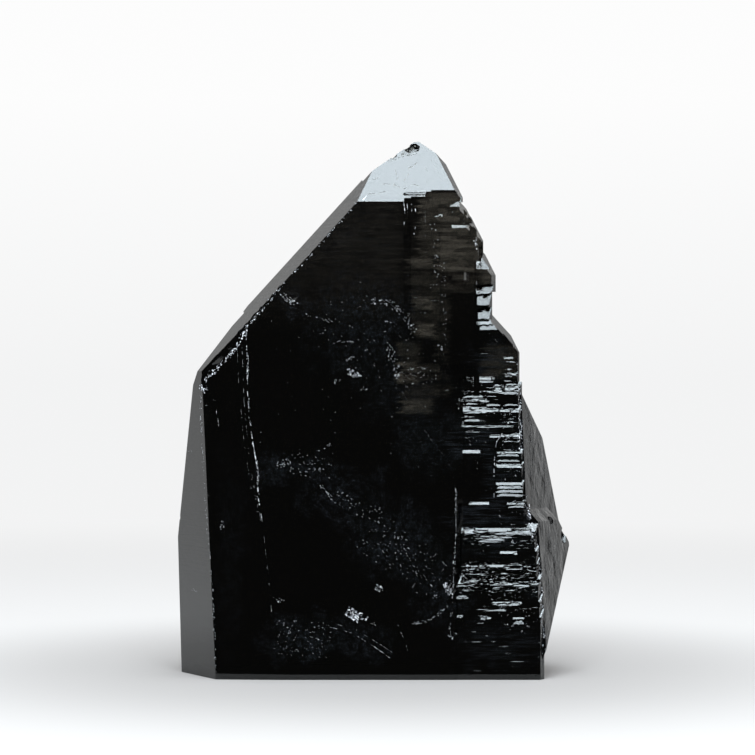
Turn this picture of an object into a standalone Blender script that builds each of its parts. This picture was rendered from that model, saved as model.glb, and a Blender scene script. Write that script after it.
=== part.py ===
"""Morion quartz crystal: parallel-grown individuals fused in one faceted solid.

Sizes are in millimetres and are stored in metres. The c axis stands upright on +Z, the
broad front prism face looks along -Y, and depth is counted back from that face.
Faces have their mineral names: m1 to m6 are the six prism faces and r1 to r6 the
rhombohedral faces above them, counted anticlockwise from the front one. A face is set
by its distance from the point on the floor under the middle of the front face.
"""

import math
import random

import bmesh
import bpy
from mathutils import Euler, Matrix, Vector

MM = 0.001
R_TILT = math.radians(51.79)  # from the c axis to a rhombohedral face's normal
BLOCK = 160.0  # half the side of the block that every individual is cut from
UP = Vector((0, 0, 1))
WELD = 0.002  # points nearer than this are one point

# the main individual: the wide front face, the apex and everything left of them
MAIN = {
    "m1": 0.0,
    "m2": 12.9,
    "m3": 15.3,
    "m4": 44.0,
    "m5": 40.0,
    "r1": 56.24,
    "r2": 66.95,
    "r3": 73.0,
    "r4": 72.5,
    "r5": 63.25,
    "r6": 58.85,
}
LEFT_PRISM = ("m6", 26.23, -0.042)  # this prism face overhangs a little
LEFT_FACET = ((-0.07, -0.998, -0.008), 1.285)  # narrow strip left of the slanted line
SHOULDER_CUTS = (((-0.80, 0.31, 0.513), 58.25), ((-0.95, 0.25, 0.187), 45.05))

# growth steps at the back, from the top down: a prism face and the r face below it
LEFT_STEPS = ((33.7, 59.7), (36.0, 56.9), (37.9, 53.8), (38.9, 49.2))
BACK_STEPS = ((33.5, 66.5), (36.0, 61.0), (39.5, 52.5), (42.3, 43.0))
# where the upper left edge lies a little further in: its r5 face, and the wall
# that this part ends at; the first is under the notch, the second is the tip
SET_BACKS = (
    (62.4, ((0.91, 0.0, 0.414), 5.6)),
    (62.68, ((-0.91, 0.0, -0.414), -36.8)),
)

# sunk areas of the main individual's front: depth, left edge, lowest and highest point
RECESSES = ((1.4, 5.0, 57.0, 120.0), (5.6, 11.9, 52.0, 76.9))
RECESS_LAP = 1.0  # how far a slanted recess runs into the one above it
RECESS_SLANTS = (
    (2.4, (5.0, 57.5), (9.0, 45.6)),
    (2.4, (9.0, 45.6), (15.2, 34.2)),
)

# individuals on the right flank, from the top down
# front: depth of m1; ledge: height where m1 meets r1; corner: x where m1 meets m2;
# side: x where m2 meets m3; shoulder: height where that edge meets r2
RIGHT = (
    {"front": 1.25, "ledge": 90.1, "corner": 16.5, "side": 18.7, "shoulder": 86.6,
     "r3": 70.4, "left": 14.3, "floor": 76.0},
    {"front": 0.95, "ledge": 86.1, "corner": 19.1, "side": 20.2, "shoulder": 83.6,
     "r3": 69.5, "left": 11.9, "floor": 77.5},
    {"front": 2.9, "ledge": 79.5, "corner": 18.8, "side": 19.6, "shoulder": 78.5,
     "r3": 68.5, "left": 11.4, "floor": 60.0},
    {"front": 6.2, "ledge": 78.4, "corner": 21.9, "side": 22.8, "shoulder": 77.2,
     "r3": 68.9, "left": 6.0, "floor": 74.0},
    {"front": 5.8, "ledge": 75.4, "corner": 21.4, "side": 22.1, "shoulder": 75.0,
     "r3": 66.5, "left": 6.5, "floor": 64.0},
    {"front": 5.3, "ledge": 67.6, "corner": 26.9, "side": 27.3, "shoulder": 62.3,
     "r3": 61.5, "left": 7.0, "floor": 0.0},
)

RIGHT_BACK = {"m4": 36.0, "m6": 20.0, "r4": 69.0, "r5": 56.0}  # faces out of sight
RIGHT_SETBACK = {"m4": 1.0, "r4": 2.0}  # each individual's are this much nearer the middle

# the two bodies of the wide right side, whose m2 faces lean back
SIDE_LEANS = {"m2": 0.089}
UPPER_LEANS = {"m1": 0.117, **SIDE_LEANS}
LOWER_LEANS = {"m1": 0.076, **SIDE_LEANS}
UPPER_SIDE = {"m1": 1.2, "m2": 26.2, "m4": 42.0, "m5": 35.0, "m6": 22.0,
              "r3": 54.5, "r4": 62.0, "r5": 54.0, "r6": 52.0}
UPPER_SIDE_M3 = (45.7, 0.27)
LOWER_SIDE = {"m1": -0.5, "m2": 27.86, "m3": 39.1, "m4": 45.0, "m5": 37.0, "m6": 22.0,
              "r2": 38.3, "r3": 46.4, "r4": 50.0, "r5": 47.0}
LOWER_SIDE_TOP = 31.0  # the lower body's face starts at about this height
UPPER_SIDE_FLOOR = 25.6
UNDERCUT = ((0.893, 0.223, -0.392), 26.7)

# stepped zone: ledges that come forward as they go down
# height of the ledge's lip, depth of the front below it, left end and right end;
# a right end of None runs to the wide side face
LEDGES = (
    (57.1, 4.9, 15.8, 22.2),
    (54.9, 4.4, 20.9, None),
    (53.0, 4.6, 15.6, 21.4),
    (50.9, 3.9, 16.4, None),
    (48.1, 3.75, 14.6, 25.9),
    (46.2, 3.5, 21.4, None),
    (43.0, 3.3, 15.4, None),
    (40.4, 2.9, 22.6, None),
    (36.9, 2.5, 15.0, None),
    (33.2, 2.1, 17.5, None),
    (28.1, 1.6, 16.0, None),
    (23.9, 1.25, 18.4, None),
    (21.4, 0.95, 16.8, None),
    (18.2, 0.65, 14.5, None),
    (14.4, 0.35, 16.2, None),
    (11.6, 0.15, 14.6, None),
)
LEDGE_REACH = 26.0  # how far a ledge's slab runs down
LEDGE_THICK = 1.4
LEDGE_SHORT = (0.05, 0.35)  # a full ledge stops this far short of the side face

# thin upright plates on the sunk front: front depth, left, right and lowest point
PLATES = (
    (0.35, 4.2, 5.8, 84.5),
    (0.75, 5.4, 6.9, 87.0),
    (1.1, 9.2, 11.7, 79.5),
    (0.9, 6.2, 8.4, 66.0),
    (1.15, 8.0, 11.2, 60.5),
)
PLATE_R1 = 55.9
PLATE_BACK = 4.0

# chips and pits: place on the surface, radii and tilt about the y axis in degrees
CHIPS = (
    ((6.7, 8.5, 101.9), (2.1, 1.3, 1.3), -20),
    ((3.0, 7.2, 100.4), (0.9, 0.8, 0.8), -30),
    ((7.6, 10.6, 104.1), (3.2, 2.7, 1.25), 0),
    ((-33.6, -0.2, 56.6), (1.9, 1.4, 2.6), 25),
    ((-30.6, 0.0, 61.0), (1.2, 0.9, 1.9), 45),
    ((-4.8, -0.4, 12.3), (1.9, 1.0, 1.1), 20),
    ((0.0, -0.3, 17.5), (0.9, 0.6, 0.7), 0),
    ((13.9, -0.2, 17.4), (1.1, 0.8, 1.2), 10),
    ((11.9, 0.7, 88.0), (1.3, 0.9, 1.0), 0),
    ((-16.4, -0.2, 72.4), (1.4, 0.7, 0.9), -10),
    ((-3.4, -0.3, 58.2), (0.9, 0.6, 0.7), 15),
    ((33.6, 7.6, 30.2), (0.9, 1.1, 1.3), 0),
    ((36.3, 11.6, 27.0), (1.0, 1.4, 1.9), 15),
    ((28.9, 2.4, 32.6), (1.3, 1.1, 1.8), 0),
)
# chipped edges: start, end, how many nicks and how large
CHIPPED_EDGES = (
    ((-32.9, 0.1, 53.5), (-31.3, 0.1, 8.0), 11, 0.62),
    ((-18.2, 0.0, 75.0), (-29.0, 0.0, 62.8), 7, 0.66),
    ((15.0, 0.1, 34.0), (14.9, 0.1, 6.0), 7, 0.5),
    ((27.7, 4.2, 53.0), (31.2, 1.0, 20.0), 8, 0.75),
)
CHIP_ROUGH = (0.85, 1.15)  # how unevenly a chip cutter's points stand out
SEED = 11


def plain(name, colour, roughness):
    """A Principled material with one colour."""
    material = bpy.data.materials.new(name)
    material.use_nodes = True
    shader = material.node_tree.nodes["Principled BSDF"]
    shader.inputs["Base Color"].default_value = (*colour, 1.0)
    shader.inputs["Roughness"].default_value = roughness
    shader.inputs["Metallic"].default_value = 0.0
    return material


def face(name, distance, lean=0.0):
    """The plane of a crystal face: its outward normal and its distance."""
    turn = math.radians(60 * (int(name[1]) - 1) - 90)
    out = Vector((math.cos(turn), math.sin(turn), 0))
    if name[0] == "r":
        return out * math.sin(R_TILT) + UP * math.cos(R_TILT), distance
    normal = out + UP * lean
    return normal.normalized(), distance / normal.length


def through(normal, *point):
    """The plane with this normal through a point."""
    normal = Vector(normal).normalized()
    return normal, normal.dot(Vector(point))


def cut_solid(name, planes):
    """A closed convex solid: a block with everything outside the planes cut off."""
    bm = bmesh.new()
    bmesh.ops.create_cube(bm, size=2 * BLOCK)
    for normal, distance in planes:
        normal = Vector(normal)
        parts = bm.verts[:] + bm.edges[:] + bm.faces[:]
        cut = bmesh.ops.bisect_plane(
            bm,
            geom=parts,
            dist=1e-5,
            plane_co=normal * (distance / normal.length_squared),
            plane_no=normal,
            clear_outer=True,
        )
        rim = [e for e in cut["geom_cut"] if isinstance(e, bmesh.types.BMEdge)]
        if rim:
            bmesh.ops.edgeloop_fill(bm, edges=rim)
    bmesh.ops.recalc_face_normals(bm, faces=bm.faces[:])
    return finish_mesh(name, bm)


def finish_mesh(name, bm):
    """Turns a bmesh in millimetres into an object in metres."""
    bmesh.ops.scale(bm, vec=(MM, MM, MM), verts=bm.verts[:])
    mesh = bpy.data.meshes.new(name)
    bm.to_mesh(mesh)
    bm.free()
    piece = bpy.data.objects.new(name, mesh)
    bpy.context.scene.collection.objects.link(piece)
    return piece


def flat_wall(side, x):
    """An upright plane that faces left or right."""
    return (Vector((side, 0, 0)), side * x)


def floor_plane(z=0.0):
    """Everything below this height goes."""
    return (-UP, -z)


def main_individual(name):
    """The broad front individual with the apex."""
    planes = [face(key, value) for key, value in MAIN.items()]
    planes += [face(*LEFT_PRISM), LEFT_FACET, *SHOULDER_CUTS, floor_plane()]
    return cut_solid(name, planes)


def growth_steps(side, steps):
    """Wedges that turn one side's prism face into a flight of steps."""
    cutters = []
    for number, (prism, slope) in enumerate(steps):
        upright, slanted = face(f"m{side}", 0)[0], face(f"r{side}", 0)[0]
        planes = [(-upright, -prism), (-slanted, -slope)]
        cutters.append(cut_solid(f"step_{side}_{number}", planes))
    return cutters


def set_backs():
    """Wedges that set parts of the upper left edge in."""
    slanted = face("r5", 0)[0]
    wedges = []
    for number, (slope, wall) in enumerate(SET_BACKS):
        wedges.append(cut_solid(f"set_back_{number}", [(-slanted, -slope), wall]))
    return wedges


def recesses():
    """Blocks that sink parts of the front face behind their neighbours."""
    cutters = []
    for number, (depth, left, low, high) in enumerate(RECESSES):
        planes = [(Vector((0, 1, 0)), depth), flat_wall(-1, left)]
        planes += [floor_plane(low), (UP, high)]
        cutters.append(cut_solid(f"recess_{number}", planes))
    for number, (depth, top, bottom) in enumerate(RECESS_SLANTS):
        run = Vector((bottom[0] - top[0], 0, bottom[1] - top[1]))
        wall = through(Vector((0, 1, 0)).cross(run), top[0], 0, top[1])
        planes = [(Vector((0, 1, 0)), depth), wall]
        planes += [floor_plane(bottom[1]), (UP, top[1] + RECESS_LAP)]
        cutters.append(cut_solid(f"slant_{number}", planes))
    return cutters


def right_individual(number, size):
    """One individual of the right flank, from its corner, side edge and ledge."""
    front, corner, side = size["front"], size["corner"], size["side"]
    deep = front + (side - corner) * math.sqrt(3)
    planes = [
        face("m1", -front),
        through(face("r1", 0)[0], 0, front, size["ledge"]),
        through(face("m2", 0)[0], corner, front, 0),
        through(face("m3", 0)[0], side, deep, 0),
        through(face("r2", 0)[0], side, deep, size["shoulder"]),
        face("r3", size["r3"]),
        flat_wall(-1, size["left"]),
        floor_plane(size["floor"]),
    ]
    for key, value in RIGHT_BACK.items():
        planes.append(face(key, value - RIGHT_SETBACK.get(key, 0.0) * number))
    return cut_solid(f"right_{number}", planes)


def wide_sides():
    """The two bodies that carry the grey face on the right."""
    upper = [face(k, v, UPPER_LEANS.get(k, 0.0)) for k, v in UPPER_SIDE.items()]
    upper += [face("m3", *UPPER_SIDE_M3), floor_plane(UPPER_SIDE_FLOOR)]
    lower = [face(k, v, LOWER_LEANS.get(k, 0.0)) for k, v in LOWER_SIDE.items()]
    lower += [UNDERCUT, floor_plane()]
    return [cut_solid("side_upper", upper), cut_solid("side_lower", lower)]


def side_corner(height, depth):
    """Where the wide side face is at this height and depth."""
    body = UPPER_SIDE if height > LOWER_SIDE_TOP else LOWER_SIDE
    normal, distance = face("m2", body["m2"], SIDE_LEANS["m2"])
    return (distance - normal.y * depth - normal.z * height) / normal.x


def ledge_bodies(rng):
    """The stepped zone: each ledge is the top of a slab that reaches down."""
    slabs = []
    for number, (top, front, left, right) in enumerate(LEDGES):
        if right is None:
            right = side_corner(top, front) - rng.uniform(*LEDGE_SHORT)
        planes = [
            face("m1", -front),
            face("m4", front + LEDGE_THICK),
            through(face("r1", 0)[0], 0, front, top),
            through(face("m2", 0)[0], right, front, 0),
            flat_wall(-1, left),
            floor_plane(max(0.0, top - LEDGE_REACH)),
        ]
        slabs.append(cut_solid(f"ledge_{number}", planes))
    return slabs


def plates():
    """Thin upright plates that break up the sunk front near the tip."""
    pieces = []
    for number, (front, left, right, low) in enumerate(PLATES):
        planes = [face("m1", -front), face("m4", PLATE_BACK), face("r1", PLATE_R1)]
        planes += [flat_wall(-1, left), flat_wall(1, right), floor_plane(low)]
        pieces.append(cut_solid(f"plate_{number}", planes))
    return pieces


def chip(name, place, radii, tilt, rng):
    """A rough rounded cutter for one chip or pit."""
    bm = bmesh.new()
    bmesh.ops.create_icosphere(bm, subdivisions=1, radius=1.0)
    turn = Euler((rng.uniform(0, 6.3), rng.uniform(0, 6.3), 0)).to_matrix()
    tip = Matrix.Rotation(math.radians(tilt), 3, "Y")
    for vert in bm.verts:
        around = turn @ vert.co * rng.uniform(*CHIP_ROUGH)
        scaled = Vector([a * r for a, r in zip(around, radii)])
        vert.co = tip @ scaled + Vector(place)
    return finish_mesh(name, bm)


def chips(rng):
    """Cutters for the single chips and for the nicks along worn edges."""
    cutters = []
    for number, (place, radii, tilt) in enumerate(CHIPS):
        cutters.append(chip(f"chip_{number}", place, radii, tilt, rng))
    for row, (start, end, count, size) in enumerate(CHIPPED_EDGES):
        for number in range(count):
            share = (number + rng.uniform(0.15, 0.85)) / count
            place = Vector(start).lerp(Vector(end), share)
            radii = [size * rng.uniform(0.5, 1.2) for axis in range(3)]
            radii[2] *= 1.5
            tilt = rng.uniform(-30, 30)
            cutters.append(chip(f"nick_{row}_{number}", place, radii, tilt, rng))
    return cutters


def gather(name, pieces):
    """Puts tools in a collection of their own and hides them."""
    group = bpy.data.collections.new(name)
    bpy.context.scene.collection.children.link(group)
    for piece in pieces:
        bpy.context.scene.collection.objects.unlink(piece)
        group.objects.link(piece)
        piece.hide_render = True
        piece.display_type = "WIRE"
    return group


def fuse(body, kind, group):
    """A Boolean with every object of a collection."""
    step = body.modifiers.new(group.name, "BOOLEAN")
    step.operation = kind
    step.operand_type = "COLLECTION"
    step.collection = group
    step.solver = "EXACT"


def settle(body):
    """Applies the Booleans, keeps the one outer shell and stands it on the origin."""
    graph = bpy.context.evaluated_depsgraph_get()
    mesh = bpy.data.meshes.new_from_object(body.evaluated_get(graph))
    bm = bmesh.new()
    bm.from_mesh(mesh)
    bmesh.ops.remove_doubles(bm, verts=bm.verts[:], dist=WELD * MM)
    bmesh.ops.dissolve_degenerate(bm, edges=bm.edges[:], dist=WELD * MM)
    shells = shells_of(bm)
    for shell in sorted(shells, key=len)[:-1]:
        bmesh.ops.delete(bm, geom=shell, context="VERTS")
    bm.to_mesh(mesh)
    bm.free()
    body.modifiers.clear()
    body.data = mesh
    xs, ys, zs = zip(*(v.co for v in mesh.vertices))
    middle = ((min(xs) + max(xs)) / 2, (min(ys) + max(ys)) / 2, min(zs))
    body.location = -Vector(middle)


def shells_of(bm):
    """The vertices of each separate shell."""
    left = set(bm.verts)
    shells = []
    while left:
        shell, reach = [], [left.pop()]
        while reach:
            vert = reach.pop()
            shell.append(vert)
            near = {e.other_vert(vert) for e in vert.link_edges} & left
            left -= near
            reach.extend(near)
        shells.append(shell)
    return shells


def discard(group):
    """Removes a collection and its tools."""
    for piece in list(group.objects):
        bpy.data.objects.remove(piece, do_unlink=True)
    bpy.data.collections.remove(group)


def clear_scene():
    """Removes what the file holds."""
    for item in list(bpy.data.objects):
        bpy.data.objects.remove(item, do_unlink=True)


def build():
    """Makes the crystal."""
    clear_scene()
    rng = random.Random(SEED)
    crystal = main_individual("morion_crystal")
    crystal.data.materials.append(plain("morion", (0.012, 0.010, 0.009), 0.06))
    steps = growth_steps(5, LEFT_STEPS) + growth_steps(4, BACK_STEPS)
    fuse(crystal, "DIFFERENCE", gather("steps", steps + set_backs() + recesses()))
    grown = [right_individual(n, size) for n, size in enumerate(RIGHT)]
    grown += wide_sides() + ledge_bodies(rng) + plates()
    fuse(crystal, "UNION", gather("individuals", grown))
    fuse(crystal, "DIFFERENCE", gather("chips", chips(rng)))
    settle(crystal)
    for name in ("steps", "individuals", "chips"):
        discard(bpy.data.collections[name])


build()
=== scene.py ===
import math
import random

import bmesh
import bpy
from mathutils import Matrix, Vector
from mathutils.bvhtree import BVHTree


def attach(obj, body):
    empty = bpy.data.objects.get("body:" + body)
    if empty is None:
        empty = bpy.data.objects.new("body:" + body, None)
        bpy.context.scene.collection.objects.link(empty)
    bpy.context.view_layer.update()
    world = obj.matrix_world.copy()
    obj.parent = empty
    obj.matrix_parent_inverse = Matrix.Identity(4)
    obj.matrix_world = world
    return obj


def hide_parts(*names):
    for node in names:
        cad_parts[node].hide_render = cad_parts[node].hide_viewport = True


mm = 0.001
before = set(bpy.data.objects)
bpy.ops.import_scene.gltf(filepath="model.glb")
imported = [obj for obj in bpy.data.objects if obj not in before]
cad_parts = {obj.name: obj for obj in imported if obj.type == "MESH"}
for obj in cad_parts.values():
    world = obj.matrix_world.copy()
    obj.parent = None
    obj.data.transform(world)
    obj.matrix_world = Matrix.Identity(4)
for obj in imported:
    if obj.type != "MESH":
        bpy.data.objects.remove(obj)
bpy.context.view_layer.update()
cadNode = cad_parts["morion_crystal"]

# the camera's square frame; places on the front are given across and down it,
# in steps from its top left corner
view = {
    "side": 755,
    "step": 0.19 * mm,  # what one step covers at the main front face
    "eye": Vector((0.745, -522.5, 57.475)) * mm,
    "front": -22.5 * mm,  # where the main front face stands
    "sensor": 36.0,
}


def seen(across, down, y=view["front"]):
    # the place at this depth that the camera sees there
    half = view["side"] / 2
    eye = view["eye"]
    flat = Vector(((across - half) * view["step"], view["front"] - eye.y, (half - down) * view["step"]))
    return eye + flat * ((y - eye.y) / flat.y)


def linear(code):
    # an sRGB hex colour as linear numbers
    parts = [int(code[i : i + 2], 16) / 255 for i in (1, 3, 5)]
    flat = [p / 12.92 if p <= 0.04045 else ((p + 0.055) / 1.055) ** 2.4 for p in parts]
    return (*flat, 1.0)


def addNode(tree, kind, sockets=None, **settings):
    # sockets holds plain values, other nodes (their first output) or outputs to link
    node = tree.nodes.new(kind)
    for key, value in settings.items():
        setattr(node, key, value)
    for key, value in (sockets or {}).items():
        if isinstance(value, bpy.types.Node):
            value = value.outputs[0]
        if isinstance(value, bpy.types.NodeSocket):
            tree.links.new(value, node.inputs[key])
        else:
            node.inputs[key].default_value = value
    return node


def calc(tree, operation, *values):
    return addNode(tree, "ShaderNodeMath", dict(enumerate(values)), operation=operation)


def calcVector(tree, operation, *values, scale=None):
    sockets = dict(enumerate(values))
    if operation == "SCALE":
        sockets["Scale"] = scale
    return addNode(tree, "ShaderNodeVectorMath", sockets, operation=operation)


def chained(tree, operation, values):
    # the same sum over all the values
    total = values[0]
    for value in values[1:]:
        total = calc(tree, operation, total, value)
    return total


def axes(tree, vector):
    return addNode(tree, "ShaderNodeSeparateXYZ", {0: vector}).outputs


def ramp(tree, value, start, end, low=0.0, high=1.0, **settings):
    return addNode(tree, "ShaderNodeMapRange", {
        "Value": value, "From Min": start, "From Max": end, "To Min": low, "To Max": high,
    }, **settings)


def noise(tree, place, scale, detail, roughness=0.5):
    return addNode(tree, "ShaderNodeTexNoise", {
        "Vector": place, "Scale": scale, "Detail": detail, "Roughness": roughness,
    })


def mosaicChances(tree, place, shift):
    # a mosaic of square blocks: a random number on each axis for each block
    blocks = addNode(tree, "ShaderNodeTexVoronoi", {
        "Vector": place, "Scale": 1.0, "Randomness": shift,
    }, distance="CHEBYCHEV")
    return axes(tree, blocks.outputs["Color"])


def bump(tree, height, strength, distance, under=None):
    sockets = {"Height": height, "Strength": strength, "Distance": distance}
    if under is not None:
        sockets["Normal"] = under
    return addNode(tree, "ShaderNodeBump", sockets)


def blend(tree, share, low, high):
    return addNode(tree, "ShaderNodeMix", {0: share, 6: low, 7: high}, data_type="RGBA").outputs[2]


def fieldNamed(tree, name):
    return addNode(tree, "GeometryNodeInputNamedAttribute", {"Name": name})


def shifted(tree, geometry, offset):
    return addNode(tree, "GeometryNodeSetPosition", {"Geometry": geometry, "Offset": offset})


def newMaterial(name):
    material = bpy.data.materials.new(name)
    material.use_nodes = True
    material.node_tree.nodes.clear()
    return material, material.node_tree


def meshObject(name, verts, faces, edges=()):
    mesh = bpy.data.meshes.new(name)
    mesh.from_pydata(verts, edges, faces)
    thing = bpy.data.objects.new(name, mesh)
    bpy.context.scene.collection.objects.link(thing)
    return thing


def facedOut(thing):
    # makes every face of a closed mesh point outwards
    bm = bmesh.new()
    bm.from_mesh(thing.data)
    bmesh.ops.recalc_face_normals(bm, faces=bm.faces[:])
    bm.to_mesh(thing.data)
    bm.free()
    return thing


quartz = {
    "body": "#16140f",  # the stone where it is thick
    "backlitBrown": "#f4e8d2",  # painted glow: the stone's smoky brown where light from behind shines through the thin parts
    "haze": "#b4c2d6",  # fine healed cracks just under the face, which scatter bluish
    "ior": 1.544,
    "transmission": 0.95,
    "reflection": (0.95, 0.99, 1.0, 1.0),  # the faint cool cast of its gloss
    "roughness": (0.02, 0.1),
    "absorption": "#a08a70",  # the channels' shares that pass, with the density below
    "density": 1150.0,  # per metre, so that 8 mm of it passes a few per cent
    "lines": (11.0, 11.0, 0.5),  # mm, growth lines that run level round the prism
    "lineDepth": 0.04 * mm,
    "rearDepth": 0.16 * mm,  # of the same lines on the back
    "etchSize": 0.9 * mm,
    "etchDepth": 0.04 * mm,
    "wornDepth": 0.07 * mm,  # of the etching on the broken tip
    "ripple": (2.8, 2.8, 5.0),  # mm, the uneven growth of the right side and the back
    "rippleDepth": 0.5 * mm,
    "rearRipple": 0.7,  # how much of it the back has
    "frayed": (1.5, 0.3, 0.3),  # mm, the fine streaks of the growth steps' bright risers
    "frayedDepth": 0.05 * mm,
    "patch": (1.7, 1.7, 0.75),  # mm, the small blocks that the painted brown glow is broken into
    "patchShift": 0.7,  # how unevenly they lie
    "patchStrength": (0.35, 1.0),
    "backlitVeil": 0.11,  # painted brown glow, thin, over the whole upper part, as if light shone through it
    "mottle": 260.0,  # scales per metre of the haze, from its clouds to its finest grains
    "flakes": 900.0,
    "grains": 2600.0,
    "sparks": 4200.0,
    "threads": (260, 260, 3800),
}

# painted glow of light shining through the thin stone, in its smoky brown: left, right, top and bottom in
# the frame, strength
backlitPatches = (
    ((403, 421, 199, 256), 0.05), ((420, 474, 192, 224), 0.62), ((436, 482, 223, 273), 0.62),
    ((419, 437, 223, 258), 0.36), ((409, 434, 257, 269), 0.5), ((433, 478, 272, 292), 0.32),
    ((408, 434, 271, 295), 0.2), ((412, 434, 296, 310), 0.62), ((434, 450, 292, 322), 0.2),
    ((408, 434, 312, 321), 0.15), ((415, 435, 323, 337), 0.8), ((436, 447, 324, 360), 0.12),
    ((399, 420, 342, 360), 0.2), ((399, 419, 362, 383), 0.6), ((420, 446, 364, 380), 0.2),
    ((402, 432, 399, 413), 0.42), ((404, 450, 385, 396), 0.15), ((478, 496, 269, 284), 0.6),
    ((484, 520, 345, 378), 0.2),
)

# haze on the main face: middle, half width and half height in the frame, strength
hazes = (
    ((362, 325), (60, 62), 0.3), ((400, 385), (40, 46), 0.2), ((430, 440), (34, 36), 0.25),
    ((298, 468), (46, 17), 0.42), ((342, 496), (42, 30), 0.42), ((392, 542), (50, 40), 0.42),
    ((436, 585), (30, 46), 0.38), ((306, 640), (46, 26), 0.5), ((360, 640), (44, 22), 0.3),
    ((292, 300), (26, 18), 0.45), ((230, 560), (16, 110), 0.1),
    ((538, 450), (14, 60), 0.5), ((548, 560), (16, 50), 0.3), ((524, 440), (8, 40), 0.5),
)
# faint level streaks, in the same way
streaks = (
    ((492, 515), (48, 19), 0.95), ((500, 645), (50, 28), 0.6), ((480, 438), (30, 26), 0.9),
    ((500, 552), (44, 12), 0.6), ((490, 362), (24, 24), 0.6), ((345, 240), (72, 46), 0.2),
    ((428, 420), (30, 60), 0.25), ((500, 470), (26, 16), 0.8),
)


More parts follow.
